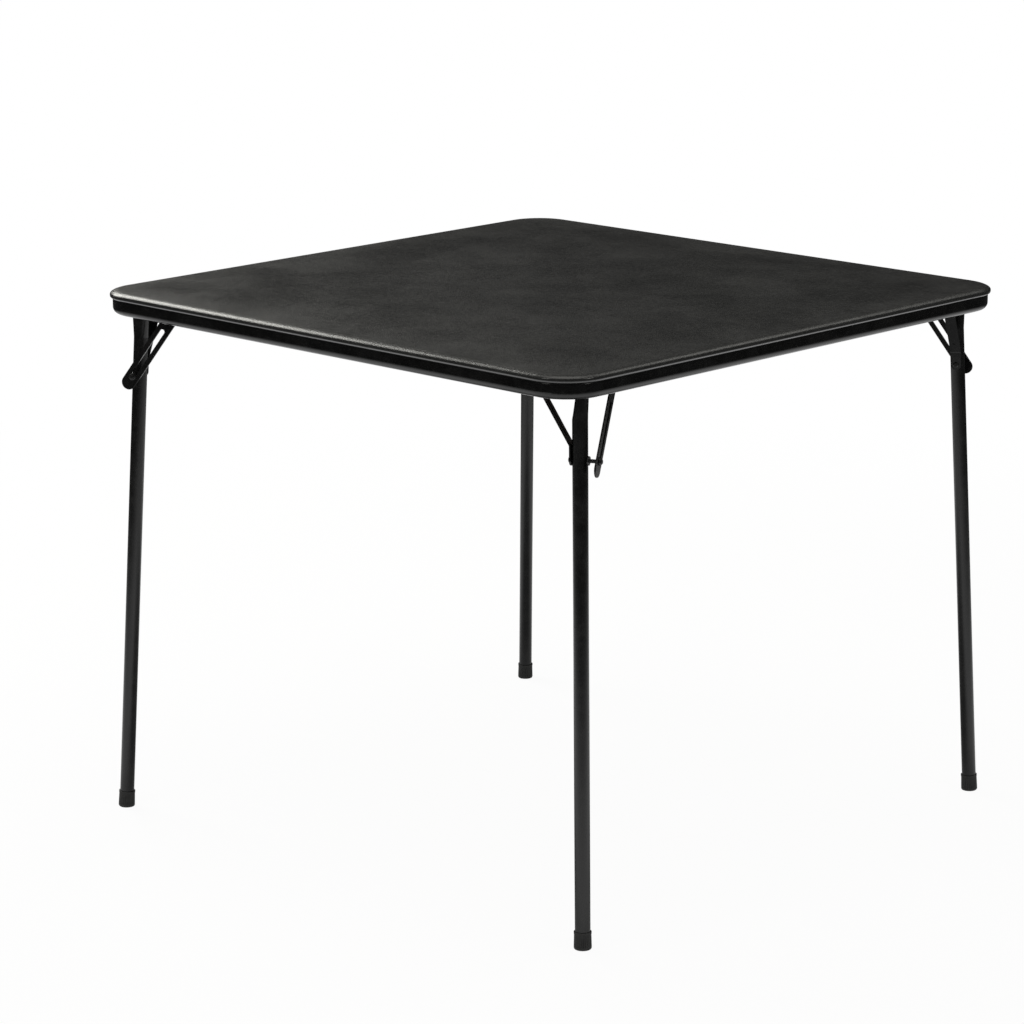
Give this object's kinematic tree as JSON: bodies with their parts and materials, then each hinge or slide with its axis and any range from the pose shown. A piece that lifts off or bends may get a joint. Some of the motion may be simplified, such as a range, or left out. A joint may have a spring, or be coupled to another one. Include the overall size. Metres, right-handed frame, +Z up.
{
  "type": "folding card table",
  "caption": "Square folding card table with a padded vinyl top, steel rim and four tube legs that fold flat under it, each held open by a slotted lock link.",
  "frame": {"origin": "centre of the table on the floor, the middle of the four feet", "axes": "+Z up through the middle of the top, +X and +Y square to the table's sides"},
  "size_m": [0.8678, 0.8678, 0.7112],
  "materials": {
    "black_vinyl": "fine leather grain, semi-matt",
    "foam": "open-cell foam",
    "hardboard": "smooth brown hardboard",
    "zinc_steel": "zinc plated",
    "black_paint": "black powder coat, semi-gloss",
    "black_stud": "black, glossy",
    "cap_rubber": "matt moulded rubber"
  },
  "bodies": {
    "table_top": {"vinyl_cover": "black_vinyl", "foam_pad": "foam", "top_panel": "hardboard", "panel_screws": "zinc_steel", "rim_frame": "black_paint", "corner_bracket_front_right": "black_paint", "bracket_rivets_front_right": "zinc_steel", "pivot_pin_front_right": "zinc_steel", "link_pin_front_right": "zinc_steel", "corner_bracket_back_right": "black_paint", "bracket_rivets_back_right": "zinc_steel", "pivot_pin_back_right": "zinc_steel", "link_pin_back_right": "zinc_steel", "corner_bracket_back_left": "black_paint", "bracket_rivets_back_left": "zinc_steel", "pivot_pin_back_left": "zinc_steel", "link_pin_back_left": "zinc_steel", "corner_bracket_front_left": "black_paint", "bracket_rivets_front_left": "zinc_steel", "pivot_pin_front_left": "zinc_steel", "link_pin_front_left": "zinc_steel"},
    "leg_front_right": {"leg_tube_front_right": "black_paint", "brace_strap_front_right": "black_paint", "cross_stud_front_right": "black_stud", "foot_cap_front_right": "cap_rubber"},
    "lock_link_front_right": {"lock_link_front_right": "black_paint"},
    "slot_head_front_right": {"slot_head_front_right": "black_stud"},
    "leg_back_right": {"leg_tube_back_right": "black_paint", "brace_strap_back_right": "black_paint", "cross_stud_back_right": "black_stud", "foot_cap_back_right": "cap_rubber"},
    "lock_link_back_right": {"lock_link_back_right": "black_paint"},
    "slot_head_back_right": {"slot_head_back_right": "black_stud"},
    "leg_back_left": {"leg_tube_back_left": "black_paint", "brace_strap_back_left": "black_paint", "cross_stud_back_left": "black_stud", "foot_cap_back_left": "cap_rubber"},
    "lock_link_back_left": {"lock_link_back_left": "black_paint"},
    "slot_head_back_left": {"slot_head_back_left": "black_stud"},
    "leg_front_left": {"leg_tube_front_left": "black_paint", "brace_strap_front_left": "black_paint", "cross_stud_front_left": "black_stud", "foot_cap_front_left": "cap_rubber"},
    "lock_link_front_left": {"lock_link_front_left": "black_paint"},
    "slot_head_front_left": {"slot_head_front_left": "black_stud"}
  },
  "joints": [
    {"name": "fold_front_right", "type": "hinge", "parent": "table_top", "child": "leg_front_right", "pos_m": [0.39283, -0.37091, 0.6865], "axis": [0.9063, 0.4226, 0], "range_deg": [0, 92.91]},
    {"name": "link_swing_front_right", "type": "hinge", "parent": "table_top", "child": "lock_link_front_right", "pos_m": [0.3914, -0.30869, 0.6865], "axis": [0.9063, 0.4226, 0], "range_deg": [0, 125.37]},
    {"name": "stud_slide_front_right", "type": "slide", "parent": "lock_link_front_right", "child": "slot_head_front_right", "axis": [-0.2446, 0.5246, 0.8154], "range_m": [0, 0.07647]},
    {"name": "fold_back_right", "type": "hinge", "parent": "table_top", "child": "leg_back_right", "pos_m": [0.37091, 0.39283, 0.6865], "axis": [-0.4226, 0.9063, 0], "range_deg": [0, 92.91]},
    {"name": "link_swing_back_right", "type": "hinge", "parent": "table_top", "child": "lock_link_back_right", "pos_m": [0.30869, 0.3914, 0.6865], "axis": [-0.4226, 0.9063, 0], "range_deg": [0, 125.37]},
    {"name": "stud_slide_back_right", "type": "slide", "parent": "lock_link_back_right", "child": "slot_head_back_right", "axis": [-0.5246, -0.2446, 0.8154], "range_m": [0, 0.07647]},
    {"name": "fold_back_left", "type": "hinge", "parent": "table_top", "child": "leg_back_left", "pos_m": [-0.39283, 0.37091, 0.6865], "axis": [-0.9063, -0.4226, 0], "range_deg": [0, 92.91]},
    {"name": "link_swing_back_left", "type": "hinge", "parent": "table_top", "child": "lock_link_back_left", "pos_m": [-0.3914, 0.30869, 0.6865], "axis": [-0.9063, -0.4226, 0], "range_deg": [0, 125.37]},
    {"name": "stud_slide_back_left", "type": "slide", "parent": "lock_link_back_left", "child": "slot_head_back_left", "axis": [0.2446, -0.5246, 0.8154], "range_m": [0, 0.07647]},
    {"name": "fold_front_left", "type": "hinge", "parent": "table_top", "child": "leg_front_left", "pos_m": [-0.37091, -0.39283, 0.6865], "axis": [0.4226, -0.9063, 0], "range_deg": [0, 92.91]},
    {"name": "link_swing_front_left", "type": "hinge", "parent": "table_top", "child": "lock_link_front_left", "pos_m": [-0.30869, -0.3914, 0.6865], "axis": [0.4226, -0.9063, 0], "range_deg": [0, 125.37]},
    {"name": "stud_slide_front_left", "type": "slide", "parent": "lock_link_front_left", "child": "slot_head_front_left", "axis": [0.5246, 0.2446, 0.8154], "range_m": [0, 0.07647]}
  ],
  "couplings": [
    {"joint": "link_swing_front_right", "follows": "fold_front_right", "ratio": 1.3494},
    {"joint": "stud_slide_front_right", "follows": "fold_front_right", "m_per_rad": 0.047154},
    {"joint": "link_swing_back_right", "follows": "fold_back_right", "ratio": 1.3494},
    {"joint": "stud_slide_back_right", "follows": "fold_back_right", "m_per_rad": 0.047154},
    {"joint": "link_swing_back_left", "follows": "fold_back_left", "ratio": 1.3494},
    {"joint": "stud_slide_back_left", "follows": "fold_back_left", "m_per_rad": 0.047154},
    {"joint": "link_swing_front_left", "follows": "fold_front_left", "ratio": 1.3494},
    {"joint": "stud_slide_front_left", "follows": "fold_front_left", "m_per_rad": 0.047154}
  ]
}
